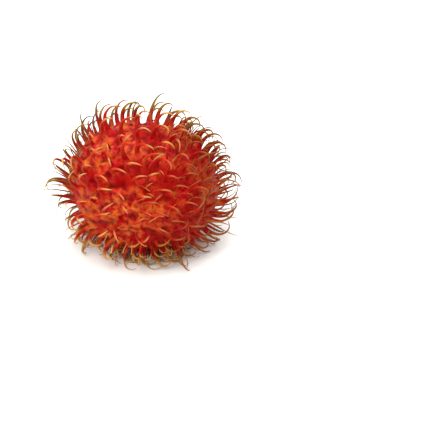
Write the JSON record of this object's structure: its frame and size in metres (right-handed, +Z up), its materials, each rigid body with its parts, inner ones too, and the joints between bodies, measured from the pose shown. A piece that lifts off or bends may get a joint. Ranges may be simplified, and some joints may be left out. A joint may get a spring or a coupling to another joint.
{
  "type": "rambutan",
  "caption": "Whole ripe rambutan lying on its side, an egg-shaped fruit with a leathery red rind covered all over in soft hooked hairs.",
  "frame": {"origin": "middle of the small flat spot on the belly that the fruit rests on", "axes": "+X from the stem end to the blossom end, +Z up from the surface it lies on"},
  "size_m": [0.0664, 0.0575, 0.0493],
  "materials": {
    "rind": "soft waxy satin, with olive and golden hair tips"
  },
  "bodies": {
    "root": {"rambutan": "rind"}
  },
  "joints": []
}
